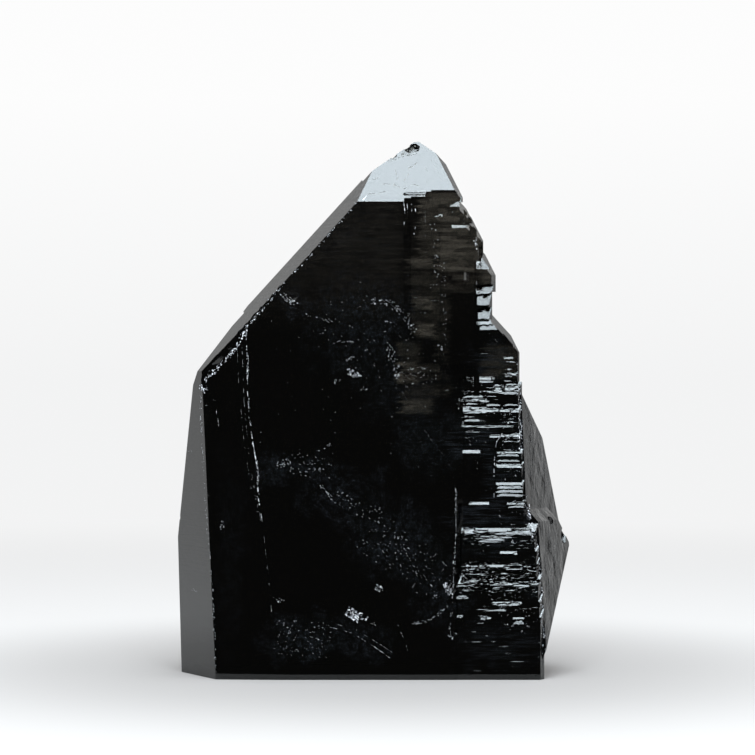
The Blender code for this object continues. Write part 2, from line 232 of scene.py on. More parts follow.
def smokyQuartz():
    # morion: glassy natural faces, nearly opaque by depth of colour, with a painted brown glow where light
    # would shine through thin parts
    material, tree = newMaterial("smoky quartz, natural faces")
    place = addNode(tree, "ShaderNodeTexCoord").outputs["Object"]
    spot = axes(tree, place)

    def times(*values):
        return chained(tree, "MULTIPLY", values)

    def strongest(*values):
        return chained(tree, "MAXIMUM", values)

    def faded(axis, start, end, low=0.0, high=1.0):
        # a value that changes between two places in mm along an axis
        return ramp(tree, spot[axis], start * mm, end * mm, low, high)

    def stretched(vector, sizes):
        scale = [1 / (size * mm) for size in sizes]
        return addNode(tree, "ShaderNodeMapping", {"Vector": vector, "Scale": scale})

    # growth lines run level round the prism, so their pattern is squeezed along z
    lines = noise(tree, stretched(place, quartz["lines"]), 1.0, 4.0, 0.6)
    etched = noise(tree, place, 1 / quartz["etchSize"], 5.0, 0.62)
    rippled = noise(tree, stretched(place, quartz["ripple"]), 1.0, 4.0, 0.52)
    behind = faded("Y", -8, 2)
    beside = strongest(faded("X", 27, 31), times(behind, quartz["rearRipple"]))
    bumps = bump(tree, lines, 0.5, quartz["lineDepth"])
    bumps = bump(tree, times(lines, behind), 1.0, quartz["rearDepth"], bumps)
    bumps = bump(tree, etched, 0.5, quartz["etchDepth"], bumps)
    bumps = bump(tree, times(etched, faded("Z", 91, 92)), 1.0, quartz["wornDepth"], bumps)
    bumps = bump(tree, times(rippled, beside), 1.0, quartz["rippleDepth"], bumps)

    # the risers, which lean back, reflect in uneven streaks
    facing = axes(tree, addNode(tree, "ShaderNodeNewGeometry").outputs["True Normal"])
    leaning = times(
        ramp(tree, facing["Z"], 0.25, 0.32), ramp(tree, facing["Y"], -0.88, -0.84, 1.0, 0.0),
        faded("Z", 88, 90, 1.0, 0.0),
    )
    streaked = noise(tree, stretched(place, quartz["frayed"]), 1.0, 2.5)
    bumps = bump(tree, times(streaked, leaning), 1.0, quartz["frayedDepth"], bumps)

    # where the front camera sees this place: across and down its frame
    sight = calcVector(tree, "SUBTRACT", place, view["eye"])
    nearer = calc(tree, "DIVIDE", view["front"] - view["eye"].y, axes(tree, sight)["Y"])
    flat = calcVector(tree, "SCALE", sight, scale=nearer)
    half, step = view["side"] / 2, 1 / view["step"]
    framed = calcVector(tree, "MULTIPLY_ADD", flat, (step, 0, -step), (half, 0, half))
    # level bands that end unevenly
    ragged = calcVector(tree, "MULTIPLY_ADD", etched.outputs["Color"], (6, 0, 4), framed)
    ragged = calcVector(tree, "MULTIPLY_ADD", lines.outputs["Color"], (40, 0, 4), ragged)

    # painted glow: the stone's smoky brown, laid on where light from behind would shine through thin parts
    glowShares = []
    for (left, right, top, bottom), strength in backlitPatches:
        middle = ((left + right) / 2 + 23, 0, (top + bottom) / 2 + 4)
        moved = calcVector(tree, "SUBTRACT", ragged, middle)
        folded = calcVector(tree, "ABSOLUTE", moved)
        size = ((right - left) / 2, 0, (bottom - top) / 2)
        beyond = calcVector(tree, "SUBTRACT", folded, size)
        sides = axes(tree, beyond)
        glowShares.append(ramp(tree, strongest(sides["X"], sides["Z"]), -2.5, 2.0, strength, 0.0))
    # painted brown glow over the whole thin upper part
    backlitVeil = times(faded("Z", 66, 80, 0.0, quartz["backlitVeil"]), faded("X", 4, 7, 1.0, 0.3))
    glowShares.append(times(backlitVeil, faded("Z", 90.5, 91.5, 1.0, 0.0)))
    low = faded("Z", 92.5, 93.5, 1.0, 0.0)
    cells = stretched(place, quartz["patch"])
    cells = calcVector(tree, "MULTIPLY_ADD", lines.outputs["Color"], (0.9, 0.0, 0.5), cells)
    chance = mosaicChances(tree, cells, quartz["patchShift"])
    broken = ramp(tree, chance["X"], 0.0, 0.85, *quartz["patchStrength"])
    # how much of the painted brown glow each place gets
    share = times(strongest(*glowShares), ramp(tree, lines, 0.38, 0.6, 0.5), broken, low)
    colour = blend(tree, share, linear(quartz["body"]), linear(quartz["backlitBrown"]))

    murk = noise(tree, place, quartz["mottle"], 3.0)
    drifted = calcVector(tree, "MULTIPLY_ADD", murk.outputs["Color"], (80, 0, 70), framed)

    def clouded(spots):
        clouds = []
        for (across, down), (wide, tall), strength in spots:
            middle = (across + 40, 0, down + 35)
            moved = calcVector(tree, "SUBTRACT", drifted, middle)
            oval = calcVector(tree, "MULTIPLY", moved, (1 / wide, 0, 1 / tall))
            reach = calcVector(tree, "LENGTH", oval)
            clouds.append(ramp(tree, reach.outputs["Value"], 0.2, 1.1, strength, 0.0))
        return strongest(*clouds)

    flakes = noise(tree, place, quartz["flakes"], 8.0, 0.78)
    grains = noise(tree, place, quartz["grains"], 3.0, 0.7)
    sparks = noise(tree, place, quartz["sparks"], 1.0)
    soft = times(ramp(tree, flakes, 0.43, 0.72), ramp(tree, grains, 0.4, 0.62, 0.25), 0.8)
    sharp = times(ramp(tree, flakes, 0.45, 0.6), ramp(tree, sparks, 0.59, 0.66, 0.0, 2.4))
    thin = addNode(tree, "ShaderNodeMapping", {"Vector": place, "Scale": quartz["threads"]})
    thin = noise(tree, thin, 1.0, 3.0)
    cloud = times(clouded(hazes), strongest(soft, sharp))
    cloud = strongest(cloud, times(clouded(streaks), ramp(tree, thin, 0.45, 0.75), 0.5))
    colour = blend(tree, cloud, colour, linear(quartz["haze"]))

    glossLow, glossHigh = quartz["roughness"]
    glass = addNode(tree, "ShaderNodeBsdfPrincipled", {
        "Base Color": colour,
        "Roughness": ramp(tree, etched, 0.45, 0.75, glossLow, glossHigh),
        "IOR": quartz["ior"],
        "Specular Tint": quartz["reflection"],
        "Transmission Weight": quartz["transmission"],
        "Normal": bumps,
    })
    depth = addNode(tree, "ShaderNodeVolumeAbsorption", {
        "Color": linear(quartz["absorption"]), "Density": quartz["density"],
    })
    addNode(tree, "ShaderNodeOutputMaterial", {"Surface": glass, "Volume": depth})
    return material


fracture = {
    "light": "#f2f5fa",
    "dark": "#7d8087",
    "olive": "#62635a",  # the broken tip
    "tip": (91.5 * mm, 92.5 * mm),  # z between which it begins
    "tipShare": 0.9,
    "roughness": 0.4,
    "grain": 0.2 * mm,
    "grainDepth": 0.08 * mm,
    "cloud": 0.7 * mm,
}


def crushedFracture():
    # breaks: crushed to tiny shell-shaped flakes, so the stone scatters white there
    material, tree = newMaterial("smoky quartz, crushed fracture")
    place = addNode(tree, "ShaderNodeTexCoord").outputs["Object"]
    grain = addNode(tree, "ShaderNodeTexVoronoi", {"Vector": place, "Scale": 1 / fracture["grain"]})
    cloud = noise(tree, place, 1 / fracture["cloud"], 4.0)
    share = ramp(tree, cloud, 0.4, 0.56)
    colour = blend(tree, share, linear(fracture["dark"]), linear(fracture["light"]))
    tip = ramp(tree, axes(tree, place)["Z"], *fracture["tip"], high=fracture["tipShare"])
    colour = blend(tree, tip, colour, linear(fracture["olive"]))
    body = addNode(tree, "ShaderNodeBsdfPrincipled", {
        "Base Color": colour,
        "Roughness": fracture["roughness"],
        "IOR": quartz["ior"],
        "Normal": bump(tree, grain, 0.7, fracture["grainDepth"]),
    })
    addNode(tree, "ShaderNodeOutputMaterial", {"Surface": body})
    return material


naturalFace = smokyQuartz()
brokenFace = crushedFracture()
print("materials made")


def newTree(name, inputs):
    # a tree with a geometry going in and out, and the named inputs after it
    tree = bpy.data.node_groups.new(name, "GeometryNodeTree")
    tree.interface.new_socket("Geometry", in_out="INPUT", socket_type="NodeSocketGeometry")
    tree.interface.new_socket("Geometry", in_out="OUTPUT", socket_type="NodeSocketGeometry")
    for label, kind in inputs:
        tree.interface.new_socket(label, in_out="INPUT", socket_type="NodeSocket" + kind)
    return tree, tree.nodes.new("NodeGroupInput").outputs, tree.nodes.new("NodeGroupOutput").inputs


def runTree(thing, tree, values):
    # applies the tree to the object and leaves it as a plain mesh
    step = thing.modifiers.new(tree.name, "NODES")
    step.node_group = tree
    for item in tree.interface.items_tree:
        if item.item_type == "SOCKET" and item.in_out == "INPUT" and item.name in values:
            step[item.identifier] = values[item.name]
    settled = bpy.data.meshes.new_from_object(thing.evaluated_get(bpy.context.evaluated_depsgraph_get()))
    thing.modifiers.remove(step)
    thing.data = settled
    return thing


def castOnStone(tree, given, place):
    # follows the camera's line of sight through a place to the stone: hit or not, and where
    sight = calcVector(tree, "SUBTRACT", place, given["Eye"])
    ahead = calcVector(tree, "NORMALIZE", sight)
    stone = addNode(tree, "GeometryNodeObjectInfo", {"Object": given["Stone"]})
    ray = addNode(tree, "GeometryNodeRaycast", {
        "Target Geometry": stone.outputs["Geometry"],
        "Source Position": given["Eye"],
        "Ray Direction": ahead,
        "Ray Length": 1.0,
    })
    return ray.outputs["Is Hit"], ray.outputs["Hit Position"]


def finished(tree, result, geometry, finish, selection=True):
    # the end of a tree: instances made real, and the finish on
    real = addNode(tree, "GeometryNodeRealizeInstances", {0: geometry})
    done = addNode(tree, "GeometryNodeSetMaterial", {
        "Geometry": real, "Selection": selection, "Material": finish,
    })
    tree.links.new(done.outputs[0], result[0])
    return tree


def onStone(tree, given, geometry, place):
    # drops points on the stone and leaves out those that miss it
    hit, where = castOnStone(tree, given, place)
    missed = addNode(tree, "FunctionNodeBooleanMath", {0: hit}, operation="NOT")
    met = addNode(tree, "GeometryNodeDeleteGeometry", {
        "Geometry": geometry, "Selection": missed,
    }, domain="POINT")
    return addNode(tree, "GeometryNodeSetPosition", {"Geometry": met, "Position": where})


def uneven(tree, place, grain, reach, detail):
    # an uneven shift of up to half the reach each way
    shake = noise(tree, place, grain, detail)
    centred = calcVector(tree, "ADD", shake.outputs["Color"], (-0.5, -0.5, -0.5))
    return calcVector(tree, "SCALE", centred, scale=reach)


# the growth steps' patterns; widths and heights count in streaks, blocks or steps
pattern = {
    "wobbleGrain": 700.0,  # per metre, of the wander of the blocks' borders
    "wobble": 0.7,
    "blockShift": 0.8,  # how unevenly the blocks lie
    "waveWidth": 2.0,
    "waveHeight": 8.0,
    "wave": 2.2,  # how far a step's line waves
    "cover": (0.42, 0.66, 0.0, 1.25),  # from where there is no step to where it is full
    "noStone": -0.1,  # y that the grid keeps beside the stone, well in front of it
}


def growthTree():
    # presses a grid against the stone along the lines of sight, then into it by growth
    # steps: each step's riser slopes back steeply, and the stone overhangs a little above
    tree, given, result = newTree("growth steps", [
        ("Stone", "Object"), ("Eye", "Vector"), ("Slope", "Float"), ("Riser", "Float"),
        ("Coarse", "Float"), ("Fine", "Float"), ("Streak", "Float"), ("Block", "Vector"),
        ("Lip Shift", "Float"), ("Margin", "Float"), ("Air", "Float"), ("Finish", "Material"),
    ])
    place = addNode(tree, "GeometryNodeInputPosition")
    spot = axes(tree, place)
    loose = fieldNamed(tree, "loose")

    # the mosaic of blocks that the steps break off at
    wobble = noise(tree, place, pattern["wobbleGrain"], 2.0)
    wobble = calcVector(tree, "SCALE", wobble.outputs["Color"], scale=pattern["wobble"])
    mosaic = calcVector(tree, "ADD", calcVector(tree, "DIVIDE", place, given["Block"]), wobble)
    chance = mosaicChances(tree, mosaic, pattern["blockShift"])

    # each block reads the stone's depth a little higher up, which lowers its lips
    lift = calc(tree, "MULTIPLY", chance[0], given["Lip Shift"])
    lift = calc(tree, "MULTIPLY", lift, loose)
    depths = []
    for x, z in ((0, 0), (1, 0), (-1, 0), (0, 1), (0, -1)):
        aside = calc(tree, "MULTIPLY", given["Margin"], float(x))
        raised = calc(tree, "MULTIPLY_ADD", given["Margin"], float(z), lift)
        offset = addNode(tree, "ShaderNodeCombineXYZ", {"X": aside, "Z": raised})
        looked = calcVector(tree, "ADD", place, offset)
        hit, where = castOnStone(tree, given, looked)
        depths.append(addNode(tree, "GeometryNodeSwitch", {
            "Switch": hit, "False": pattern["noStone"], "True": axes(tree, where)["Y"],
        }, input_type="FLOAT"))

    cuts = []
    for pitch, strength, shift in ((given["Coarse"], "coarse", 3.0), (given["Fine"], "fine", 11.0)):
        amount = fieldNamed(tree, strength)
        wide = calc(tree, "MULTIPLY", given["Streak"], pattern["waveWidth"])
        tall = calc(tree, "MULTIPLY", pitch, pattern["waveHeight"])
        size = addNode(tree, "ShaderNodeCombineXYZ", {"X": wide, "Y": 1.0, "Z": tall})
        wave = noise(tree, calcVector(tree, "DIVIDE", place, size), 1.0, 1.0)
        phase = calc(tree, "DIVIDE", spot["Z"], pitch)
        phase = calc(tree, "MULTIPLY_ADD", wave, pattern["wave"], phase)
        phase = calc(tree, "MULTIPLY_ADD", chance[1], 1.0, phase)
        turn = calc(tree, "FRACT", phase)

        # a saw tooth: up its slope, and down the riser
        rise = calc(tree, "MULTIPLY", pitch, given["Slope"])
        high = calc(tree, "MULTIPLY", rise, given["Riser"])
        up = calc(tree, "MULTIPLY", turn, rise)
        rest = calc(tree, "SUBTRACT", 1.0, given["Riser"])
        back = calc(tree, "DIVIDE", calc(tree, "SUBTRACT", 1.0, turn), rest)
        saw = calc(tree, "MINIMUM", up, calc(tree, "MULTIPLY", back, high))

        # how much of each tooth is cut
        lens = addNode(tree, "ShaderNodeCombineXYZ", {"X": given["Streak"], "Y": 1.0, "Z": pitch})
        cover = calcVector(tree, "DIVIDE", place, lens)
        cover = calcVector(tree, "ADD", cover, (0.0, shift, 0.0))
        cover = ramp(tree, noise(tree, cover, 1.0, 2.0), *pattern["cover"])
        limit = calc(tree, "SUBTRACT", 1.0, calc(tree, "MULTIPLY", amount, cover))
        sunk = calc(tree, "SUBTRACT", saw, calc(tree, "MULTIPLY", limit, high))
        cuts.append(calc(tree, "MAXIMUM", sunk, 0.0))

    # each point moves along its line of sight to the depth found there
    depth = calc(tree, "ADD", chained(tree, "MINIMUM", depths), chained(tree, "MAXIMUM", cuts))
    depth = calc(tree, "SUBTRACT", depth, given["Air"])
    eye = axes(tree, given["Eye"])
    sight = calcVector(tree, "SUBTRACT", place, given["Eye"])
    run = calc(tree, "SUBTRACT", depth, eye["Y"])
    whole = calc(tree, "SUBTRACT", spot["Y"], eye["Y"])
    ratio = calc(tree, "DIVIDE", run, whole)
    sight = calcVector(tree, "SCALE", sight, scale=ratio)
    target = calcVector(tree, "ADD", given["Eye"], sight)
    pressed = addNode(tree, "GeometryNodeSetPosition", {
        "Geometry": given["Geometry"], "Selection": fieldNamed(tree, "rear"), "Position": target,
    })
    return finished(tree, result, pressed, given["Finish"])


def chipTree():
    # scatters chip cutters over an area, drops them on the stone and roughens them
    tree, given, result = newTree("chips", [
        ("Stone", "Object"), ("Eye", "Vector"), ("Cutter", "Object"), ("Density", "Float"),
        ("Smallest", "Vector"), ("Largest", "Vector"), ("Least Turn", "Vector"), ("Most Turn", "Vector"),
        ("Roughness", "Float"), ("Grain", "Float"), ("Seed", "Int"), ("Finish", "Material"),
    ])
    seed = given["Seed"]
    spots = addNode(tree, "GeometryNodeDistributePointsOnFaces", {
        "Mesh": given["Geometry"], "Density": given["Density"], "Seed": seed,
    })
    place = addNode(tree, "GeometryNodeInputPosition")
    dropped = onStone(tree, given, spots, place)
    cutter = addNode(tree, "GeometryNodeObjectInfo", {"Object": given["Cutter"]})
    size = addNode(tree, "FunctionNodeRandomValue", {
        "Min": given["Smallest"], "Max": given["Largest"], "Seed": seed,
    }, data_type="FLOAT_VECTOR")
    turn = addNode(tree, "FunctionNodeRandomValue", {
        "Min": given["Least Turn"], "Max": given["Most Turn"], "Seed": seed,
    }, data_type="FLOAT_VECTOR")
    placed = addNode(tree, "GeometryNodeInstanceOnPoints", {
        "Points": dropped, "Instance": cutter.outputs["Geometry"], "Scale": size, "Rotation": turn,
    })
    real = addNode(tree, "GeometryNodeRealizeInstances", {0: placed})
    ragged = shifted(tree, real, uneven(tree, place, given["Grain"], given["Roughness"], 1.0))
    return finished(tree, result, ragged, given["Finish"])


def crackTree():
    # turns a path into a thin ragged cutter that lies on the stone
    tree, given, result = newTree("cracks", [
        ("Stone", "Object"), ("Eye", "Vector"), ("Spacing", "Float"), ("Wander", "Float"),
        ("Thinnest", "Float"), ("Widest", "Float"), ("Grain", "Float"), ("Finish", "Material"),
    ])
    path = addNode(tree, "GeometryNodeMeshToCurve", {"Mesh": given["Geometry"]})
    path = addNode(tree, "GeometryNodeResampleCurve", {
        "Curve": path, "Length": given["Spacing"],
    }, mode="LENGTH")
    place = addNode(tree, "GeometryNodeInputPosition")
    path = shifted(tree, path, uneven(tree, place, given["Grain"], given["Wander"], 2.0))
    path = onStone(tree, given, path, place)
    # here and there it comes out of the stone, which interrupts the crack
    apart = ramp(tree, noise(tree, place, given["Grain"], 1.0), 0.35, 0.65, 0.3, -1.5)
    apart = calc(tree, "MULTIPLY", apart, given["Widest"])
    path = shifted(tree, path, addNode(tree, "ShaderNodeCombineXYZ", {"Y": apart}))
    swell = noise(tree, place, given["Grain"], 3.0, 0.7)
    width = ramp(tree, swell, 0.4, 0.68, given["Thinnest"], given["Widest"])
    ring = addNode(tree, "GeometryNodeCurvePrimitiveCircle", {"Resolution": 5, "Radius": 1.0})
    tube = addNode(tree, "GeometryNodeCurveToMesh", {
        "Curve": path, "Profile Curve": ring, "Scale": width, "Fill Caps": True,
    })
    return finished(tree, result, tube, given["Finish"])


def carveTree():
    # cuts the cutters away; a cut face keeps its cutter's finish, and all others have the stone's
    tree, given, result = newTree("carve", [
        ("Cutters", "Object"), ("Finish", "Material"), ("Broken Finish", "Material"),
    ])
    cutters = addNode(tree, "GeometryNodeObjectInfo", {"Object": given["Cutters"]})
    cut = addNode(tree, "GeometryNodeMeshBoolean", {
        "Mesh 1": given["Geometry"], "Mesh 2": cutters.outputs["Geometry"], "Self Intersection": True,
    }, operation="DIFFERENCE", solver="EXACT")
    broken = addNode(tree, "GeometryNodeMaterialSelection", {"Material": given["Broken Finish"]})
    whole = addNode(tree, "FunctionNodeBooleanMath", {0: broken}, operation="NOT")
    return finished(tree, result, cut, given["Finish"], whole)


growthSteps = growthTree()
chips = chipTree()
cracks = crackTree()
carve = carveTree()


def crystalCopy(name):
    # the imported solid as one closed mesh
    crystal = bpy.data.objects.new(name, cadNode.data.copy())
    bpy.context.scene.collection.objects.link(crystal)
    bm = bmesh.new()
    bm.from_mesh(crystal.data)
    bmesh.ops.remove_doubles(bm, verts=bm.verts[:], dist=0.001 * mm)
    for face in bm.faces:
        face.smooth = False
        face.material_index = 0
    bm.to_mesh(crystal.data)
    bm.free()
    crystal.data.materials.clear()
    crystal.data.materials.append(naturalFace)
    return crystal


# the growth steps: slope of their risers and sizes
relief = {
    "Slope": 0.44,
    "Riser": 0.76,
    "Coarse": 0.92 * mm,
    "Fine": 0.42 * mm,
    "Streak": 5.6 * mm,
    "Block": (3.4 * mm, 3.4 * mm, 1.5 * mm),
    "Lip Shift": 1.3 * mm,
    "Margin": 0.12 * mm,
    "Air": 0.04 * mm,
}

# right rim of the stepped front, down the frame
flankRim = ((380, 522), (440, 523), (470, 525), (500, 528), (540, 536), (570, 541), (600, 543), (662, 546))

# areas of the lower, stepped flank: left, right, top, bottom; how strong the coarse and
# the fine steps are there, and how far the blocks are shifted against each other
flankZones = (
    ((470, 496, 378, 385), 0.7, 0.4, 0.1),
    ((462, 524, 384, 410), 0.62, 0.5, 0.3),
    ((460, 500, 410, 433), 0.36, 0.4, 0.3),
    ((502, 524, 408, 452), 0.5, 0.44, 0.3),
    ((462, 484, 447, 458), 0.2, 0.3, 0.3),
    ((496, 526, 452, 481), 0.15, 0.34, 0.1),
    ((460, 530, 500, 530), 0.04, 0.36, 0.3),
    ((462, 538, 529, 545), 0.9, 0.55, 0.5),
    ((478, 540, 545, 561), 0.1, 0.46, 0.4),
    ((460, 543, 561, 592), 1.6, 1.0, 0.6),
    ((476, 540, 594, 626), 0.25, 0.55, 0.5),
    ((470, 545, 626, 668), 0.1, 0.44, 0.4),
    ((458, 546, 374, 672), 0.04, 0.32, 0.3),
)
crownZones = (
    ((420, 458, 204, 226), 0.0, 0.25, 0.0),
    ((404, 450, 262, 400), 0.1, 0.36, 0.5),
    ((450, 478, 262, 380), 0.0, 0.26, 0.0),
    ((466, 503, 335, 392), 0.12, 0.45, 0.5),
    ((503, 524, 345, 392), 0.8, 0.5, 0.3),
)


fades = {"side": 5, "level": 3, "rim": 4}  # steps of the frame over which a zone fades


def clamped(value):
    return min(max(value, 0.0), 1.0)


def within(zones, across, down, column):
    # the strongest of the zones at a place, fading over their rims
    best = 0.0
    for (left, right, top, bottom), *strengths in zones:
        sideways = min(across - left, right - across) / fades["side"]
        inside = min(sideways, min(down - top, bottom - down) / fades["level"])
        best = max(best, strengths[column] * clamped(inside + 0.5))
    return best


def rimAt(rim, down):
    for (topDown, topAcross), (lowDown, lowAcross) in zip(rim, rim[1:]):
        if down <= lowDown:
            share = max(0.0, (down - topDown) / (lowDown - topDown))
            return topAcross + share * (lowAcross - topAcross)
    return rim[-1][1]


def reliefBlock(name, area, cell, zones, rim=None):
    # a closed block: one flat front, and behind it a fine grid that the tree presses on
    left, right, top, bottom = area
    columns, rows = round((right - left) / cell[0]), round((bottom - top) / cell[1])
    count = rows + 1
    spots = [(left + cell[0] * i, top + cell[1] * j) for i in range(columns + 1) for j in range(rows + 1)]
    verts = [seen(*spot) for spot in spots]
    faces = []
    for i in range(columns):
        for j in range(rows):
            a = i * count + j
            faces.append((a, a + 1, a + 1 + count, a + count))
    border = [i * count for i in range(columns)] + [columns * count + j for j in range(rows)]
    border += [i * count + rows for i in range(columns, 0, -1)] + [j for j in range(rows, 0, -1)]
    first = len(verts)
    verts += [seen(*spots[n], view["front"] - 3 * mm) for n in border]
    for k in range(len(border)):
        after = (k + 1) % len(border)
        faces.append((border[k], border[after], first + after, first + k))
    faces.append(tuple(range(first, first + len(border))))
    block = facedOut(meshObject(name, verts, faces))
    block.data.materials.append(naturalFace)

    spare = len(verts) - first
    fields = {"rear": [1.0] * first + [0.0] * spare}
    for column, key in enumerate(("coarse", "fine", "loose")):
        values = []
        for across, down in spots:
            amount = within(zones, across, down, column)
            if rim:
                amount *= clamped((rimAt(rim, down) - across) / fades["rim"])
            values.append(amount)
        fields[key] = values + [0.0] * spare
    for key, values in fields.items():
        block.data.attributes.new(key, "FLOAT", "POINT").data.foreach_set("value", values)
    return block


def carved(thing, cutters):
    runTree(thing, carve, {
        "Cutters": cutters, "Finish": naturalFace, "Broken Finish": brokenFace,
    })


def growthBlocks(guide):
    # presses both blocks, and steps the guide that the finer cutters are laid on
    pressed = []
    blocks = (
        ("flankSteps", (447, 549, 373, 674), (1.6, 0.66), flankZones, flankRim),
        ("crownSteps", (398, 526, 187, 394), (1.6, 0.8), crownZones, None),
    )
    for name, area, cell, zones, rim in blocks:
        block = reliefBlock(name, area, cell, zones, rim)
        runTree(block, growthSteps, {
            "Stone": guide, "Eye": view["eye"], "Finish": naturalFace, **relief,
        })
        carved(guide, block)
        pressed.append(block)
        print(name, "pressed:", len(block.data.polygons), "faces")
    return pressed


# single risers: left, right, top and bottom of the bright facet, and the share of its
# height that it has at its left and right end
risers = (
    (471, 493, 379.5, 382.5, 0.6, 1.0), (494, 501, 383, 386, 1.0, 0.5), (504, 519, 392, 394.5, 1.0, 1.0),
    (504, 518, 403, 405.5, 1.0, 0.6), (463, 483, 394, 397.5, 0.4, 1.0), (489, 503, 390.5, 393, 1.0, 0.4),
    (480, 489, 398, 402, 0.3, 1.0), (466, 478, 402, 404.5, 1.0, 0.3), (486, 500, 403.5, 406, 1.0, 1.0),
    (484, 500, 408.5, 410.5, 1.0, 0.4), (464, 480, 411.5, 413.5, 0.4, 1.0),
    (464, 480, 418, 421.5, 0.6, 1.0),
    (497, 519, 454, 456.2, 0.8, 1.0), (497, 520, 459.5, 461.5, 1.0, 1.0), (498, 519, 465, 467.5, 1.0, 0.8),
    (508, 526, 505, 507.5, 0.5, 1.0), (495, 534, 530.5, 534.5, 0.6, 1.0), (484, 512, 536, 538, 0.4, 1.0),
    (478, 500, 540, 542.5, 1.0, 0.4), (505, 518, 551.5, 554, 0.2, 0.8), (454, 467, 585, 586.6, 1.0, 1.0),
    (453, 468, 595, 598.6, 1.0, 1.0), (484, 506, 608.5, 611, 0.4, 1.0), (481, 495, 616, 618.5, 1.0, 0.6),
    (497, 521, 482, 485, 0.8, 1.0), (497, 523, 485.4, 488.6, 1.0, 1.0), (496, 524, 489, 492.4, 1.0, 1.0),
    (497, 526, 492.8, 496.4, 1.0, 0.8), (504, 519, 355.5, 359, 0.8, 1.0), (506, 519, 372, 374, 1.0, 1.0),
    (505, 518, 383, 385, 1.0, 1.0), (434, 443, 213.5, 216.5, 1.0, 1.0), (509, 521, 432.5, 435.5, 0.5, 1.0),
    (480, 497, 534, 537, 0.5, 1.0), (480, 505, 537.5, 541, 0.5, 1.0), (513, 524, 618, 624, 0.4, 1.0),
    (404, 427, 192, 197, 1.0, 1.0),
    # these are cut as deep as the stone stands at the place across that comes last
    (452, 464, 224.5, 228, 0.3, 1.0, 456), (463.5, 471, 219, 228, 0.4, 1.0, 468),
    (450, 461.5, 196, 206.5, 0.15, 1.0, 455), (477, 485, 250, 269.5, 0.1, 1.0, 490),
    (485, 499, 250, 269.5, 1.0, 0.3, 490), (476, 503, 284.5, 294, 1.0, 1.0, 490),
    (477, 503, 294.4, 305, 1.0, 1.0, 489), (478, 503, 305.4, 318.6, 0.8, 1.0, 489),
    (480, 503, 319, 324, 0.9, 1.0, 490), (480, 505, 324.4, 330, 1.0, 1.0, 492),
)

# square notches: left, right, top and bottom, and the place whose depth each one has
notches = (
    (404, 412, 198, 204, 408, 198), (411, 426, 196.5, 204, 418, 196.5), (425, 442, 193.5, 204, 433, 193.5),
    (426, 432, 191.5, 196, 429, 191.5), (431, 457, 190, 196, 444, 190), (438, 452, 222, 229, 445, 222),
    (459, 464, 203, 224, 463.4, 214), (464, 469, 211, 226, 468.4, 219), (469, 474, 218, 238, 473.4, 228),
    (474, 478, 225, 263, 477.4, 242), (478, 482, 234, 262, 481.2, 246), (473.5, 479.5, 262, 396, 481, 350),
    (497, 503, 316, 350, 502.4, 334), (503, 508, 322, 352, 507.4, 338), (508, 513, 330, 357, 512.4, 344),
    (513, 518, 338, 362, 517.4, 351), (463.5, 467, 204, 216, 466.2, 212), (468, 472, 211, 224, 471, 219),
    (473, 476.5, 220, 238, 475.8, 229), (477, 481, 230, 246, 480, 240), (481, 484, 242, 262, 483, 252),
    (457, 492.5, 599, 606, 480, 598), (521.5, 546, 599.5, 607, 530, 598), (456, 481, 613, 620.5, 470, 612),
    (491, 513, 613.5, 620, 500, 612), (524, 546, 613, 619.5, 530, 612), (470, 500, 549, 557, 485, 548),
    (517, 541, 549.5, 556, 528, 548), (480, 497, 448.5, 456, 488, 447), (458, 496, 478, 488, 480, 477),
    (489, 507, 500, 508, 498, 499), (477, 503, 269, 285, 491, 280),
)


def notchCutters(tree):
    # a box for each
    verts, faces = [], []
    for left, right, top, bottom, *spot in notches:
        sight = seen(*spot) - view["eye"]
        hit = tree.ray_cast(view["eye"], sight.normalized())[0]
        if hit is None:
            continue
        first = len(verts)
        for y in (view["front"] - 1 * mm, hit.y + 0.01 * mm):
            corners = ((left, bottom), (right, bottom), (right, top), (left, top))
            verts += [seen(*corner, hit.y) for corner in corners]
            for vert in verts[-4:]:
                vert.y = y
        for side in ((0, 1, 2, 3), (4, 7, 6, 5), (0, 4, 5, 1), (1, 5, 6, 2), (2, 6, 7, 3), (3, 7, 4, 0)):
            faces.append([first + corner for corner in side])
    cutters = facedOut(meshObject("notchCutters", verts, faces))
    cutters.data.materials.append(naturalFace)
    return cutters


wedge = {
    "pace": 2.5,  # steps of the frame from rib to rib
    "ends": 0.3,  # of its height where it begins and ends
    "taper": 6,
    "uneven": (0.82, 1.12),
    "lip": 0.6 * mm,  # the height that its lip wavers in
    "waver": 0.12,
    "air": 0.4 * mm,  # how far it stands out of the stone
    "deepAir": 7 * mm,
}


